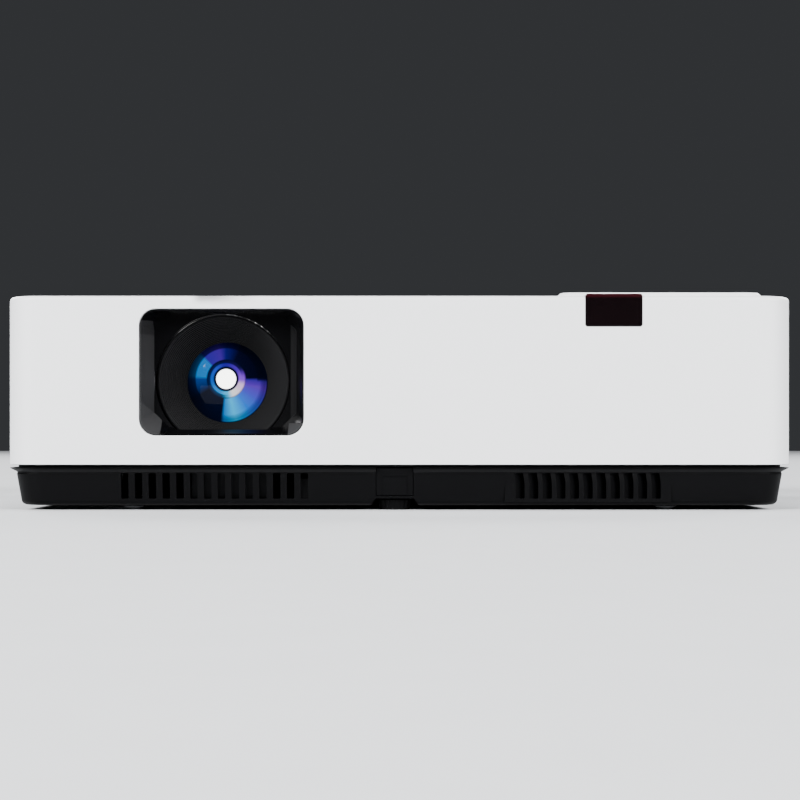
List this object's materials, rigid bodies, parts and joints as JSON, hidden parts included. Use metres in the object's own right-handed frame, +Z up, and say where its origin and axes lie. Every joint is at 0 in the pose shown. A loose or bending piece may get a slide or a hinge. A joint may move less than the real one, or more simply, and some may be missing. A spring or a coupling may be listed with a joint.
{
  "type": "lcd projector",
  "caption": "Low white and black portable projector with a recessed zoom lens, top keys, vented case, rear terminals and adjustable feet.",
  "frame": {"origin": "on the surface it stands on, under the middle of its bounding box", "axes": "+X to the right of someone facing the lens side, front with the lens towards -Y, +Z up"},
  "size_m": [0.35, 0.26, 0.0987],
  "materials": {
    "white_plastic": "fine matt moulded",
    "key_plastic": "satin moulded",
    "black_plastic": "fine spark-eroded texture",
    "gloss_black": "polished",
    "lens_black": "satin anodised look",
    "smoked_window": "polished deep red",
    "optical_glass": "coated",
    "indicator_lens": "satin diffusing",
    "grey_rubber": "matt",
    "black_rubber": "matt",
    "filter_foam": "open cell",
    "circuit_board": "solder mask",
    "plated_steel": "bright plated",
    "cast_alloy": "as cast",
    "lamp_ceramic": "heat-proof moulded"
  },
  "bodies": {
    "chassis": {"upper_cover": "white_plastic", "control_panel": "white_plastic", "exhaust_grille": "white_plastic", "lower_case": "black_plastic", "terminal_panel": "black_plastic", "audio_jacks": "black_plastic", "mains_inlet": "black_plastic", "exhaust_fan_frame": "black_plastic", "intake_fan_frame": "black_plastic", "speaker": "black_plastic", "lens_bezel": "gloss_black", "red_panel": "gloss_black", "green_panel": "gloss_black", "blue_panel": "gloss_black", "lens_barrel": "lens_black", "ir_window": "smoked_window", "combiner_prism": "optical_glass", "indicator_window": "indicator_lens", "front_pad_left": "grey_rubber", "front_pad_right": "grey_rubber", "main_board": "circuit_board", "power_board": "circuit_board", "key_board": "circuit_board", "computer_socket": "plated_steel", "monitor_socket": "plated_steel", "hdmi_socket": "plated_steel", "usb_socket": "plated_steel", "lan_socket": "plated_steel", "case_screw_left": "plated_steel", "case_screw_right": "plated_steel", "lamp_reflector": "plated_steel", "optics_housing": "cast_alloy", "lamp_housing": "lamp_ceramic"},
    "front_group": {"front_cell": "lens_black", "front_lens": "optical_glass"},
    "focus_ring": {"focus_ring": "lens_black"},
    "zoom_ring": {"zoom_ring": "lens_black"},
    "zoom_group": {"zoom_lens": "optical_glass"},
    "exhaust_rotor": {"exhaust_fan_rotor": "black_plastic"},
    "intake_rotor": {"intake_fan_rotor": "black_plastic"},
    "lamp_lid": {"lamp_cover": "white_plastic", "lamp_cover_screw": "plated_steel"},
    "filter_door": {"filter_cover": "white_plastic", "air_filter": "filter_foam"},
    "foot_release": {"foot_release": "black_plastic"},
    "front_stem": {"front_foot_stem": "black_plastic"},
    "front_foot": {"front_foot": "black_plastic"},
    "rear_pad_left": {"rear_pad_left": "black_rubber"},
    "rear_foot_left": {"rear_foot_left": "black_plastic"},
    "rear_pad_right": {"rear_pad_right": "black_rubber"},
    "rear_foot_right": {"rear_foot_right": "black_plastic"},
    "power_key": {"power_key": "key_plastic"},
    "source_key": {"source_key": "key_plastic"},
    "exit_key": {"exit_key": "key_plastic"},
    "menu_key": {"menu_key": "key_plastic"},
    "enter_key": {"enter_key": "key_plastic"},
    "up_key": {"up_key": "key_plastic"},
    "down_key": {"down_key": "key_plastic"},
    "left_key": {"left_key": "key_plastic"},
    "right_key": {"right_key": "key_plastic"}
  },
  "joints": [
    {"name": "focus_turn", "type": "hinge", "parent": "chassis", "child": "focus_ring", "pos_m": [-0.0793, -0.13, 0.0576], "axis": [0, 1, 0], "range_deg": [-60, 60]},
    {"name": "focus_travel", "type": "slide", "parent": "chassis", "child": "front_group", "axis": [0, 1, 0], "range_m": [-0.0007, 0.0007]},
    {"name": "zoom_turn", "type": "hinge", "parent": "chassis", "child": "zoom_ring", "pos_m": [-0.0793, -0.13, 0.0576], "axis": [0, 1, 0], "range_deg": [-15, 30]},
    {"name": "zoom_travel", "type": "slide", "parent": "chassis", "child": "zoom_group", "axis": [0, 1, 0], "range_m": [-0.0028, 0.0055]},
    {"name": "exhaust_fan_spin", "type": "hinge", "parent": "chassis", "child": "exhaust_rotor", "pos_m": [0.1475, 0.048, 0.051], "axis": [1, 0, 0], "continuous": true},
    {"name": "intake_fan_spin", "type": "hinge", "parent": "chassis", "child": "intake_rotor", "pos_m": [-0.1635, -0.073, 0.056], "axis": [1, 0, 0], "continuous": true},
    {"name": "lamp_cover_slide", "type": "slide", "parent": "chassis", "child": "lamp_lid", "axis": [1, 0, 0], "range_m": [0, 0.08]},
    {"name": "filter_cover_open", "type": "hinge", "parent": "chassis", "child": "filter_door", "pos_m": [-0.1734, -0.073, 0.0307], "axis": [0, -1, 0], "range_deg": [0, 95]},
    {"name": "foot_release_press", "type": "slide", "parent": "chassis", "child": "foot_release", "axis": [0, 1, 0], "range_m": [0, 0.0025], "stiffness_N_per_m": 600, "springref_m": -0.003},
    {"name": "front_foot_drop", "type": "slide", "parent": "chassis", "child": "front_stem", "axis": [0, 0, -1], "range_m": [0, 0.03]},
    {"name": "front_foot_turn", "type": "hinge", "parent": "front_stem", "child": "front_foot", "pos_m": [-0.0021, -0.116, 0], "axis": [0, 0, 1], "continuous": true},
    {"name": "rear_rise_left", "type": "slide", "parent": "chassis", "child": "rear_pad_left", "axis": [0, 0, -1], "range_m": [0, 0.01]},
    {"name": "rear_turn_left", "type": "hinge", "parent": "rear_pad_left", "child": "rear_foot_left", "pos_m": [-0.122, 0.096, 0], "axis": [0, 0, 1], "range_deg": [0, 3600]},
    {"name": "rear_rise_right", "type": "slide", "parent": "chassis", "child": "rear_pad_right", "axis": [0, 0, -1], "range_m": [0, 0.01]},
    {"name": "rear_turn_right", "type": "hinge", "parent": "rear_pad_right", "child": "rear_foot_right", "pos_m": [0.122, 0.096, 0], "axis": [0, 0, 1], "range_deg": [0, 3600]},
    {"name": "power_key_press", "type": "slide", "parent": "chassis", "child": "power_key", "axis": [0, 0, -1], "range_m": [0, 0.001], "stiffness_N_per_m": 300, "springref_m": -0.002},
    {"name": "source_key_press", "type": "slide", "parent": "chassis", "child": "source_key", "axis": [0, 0, -1], "range_m": [0, 0.001], "stiffness_N_per_m": 300, "springref_m": -0.002},
    {"name": "exit_key_press", "type": "slide", "parent": "chassis", "child": "exit_key", "axis": [0, 0, -1], "range_m": [0, 0.001], "stiffness_N_per_m": 300, "springref_m": -0.002},
    {"name": "menu_key_press", "type": "slide", "parent": "chassis", "child": "menu_key", "axis": [0, 0, -1], "range_m": [0, 0.001], "stiffness_N_per_m": 300, "springref_m": -0.002},
    {"name": "enter_key_press", "type": "slide", "parent": "chassis", "child": "enter_key", "axis": [0, 0, -1], "range_m": [0, 0.001], "stiffness_N_per_m": 300, "springref_m": -0.002},
    {"name": "up_key_press", "type": "slide", "parent": "chassis", "child": "up_key", "axis": [0, 0, -1], "range_m": [0, 0.001], "stiffness_N_per_m": 300, "springref_m": -0.002},
    {"name": "down_key_press", "type": "slide", "parent": "chassis", "child": "down_key", "axis": [0, 0, -1], "range_m": [0, 0.001], "stiffness_N_per_m": 300, "springref_m": -0.002},
    {"name": "left_key_press", "type": "slide", "parent": "chassis", "child": "left_key", "axis": [0, 0, -1], "range_m": [0, 0.001], "stiffness_N_per_m": 300, "springref_m": -0.002},
    {"name": "right_key_press", "type": "slide", "parent": "chassis", "child": "right_key", "axis": [0, 0, -1], "range_m": [0, 0.001], "stiffness_N_per_m": 300, "springref_m": -0.002}
  ],
  "couplings": [
    {"joint": "focus_travel", "follows": "focus_turn", "m_per_rad": 0.000636},
    {"joint": "zoom_travel", "follows": "zoom_turn", "m_per_rad": 0.010186},
    {"joint": "rear_rise_left", "follows": "rear_turn_left", "m_per_rad": 0.000159},
    {"joint": "rear_rise_right", "follows": "rear_turn_right", "m_per_rad": 0.000159}
  ]
}
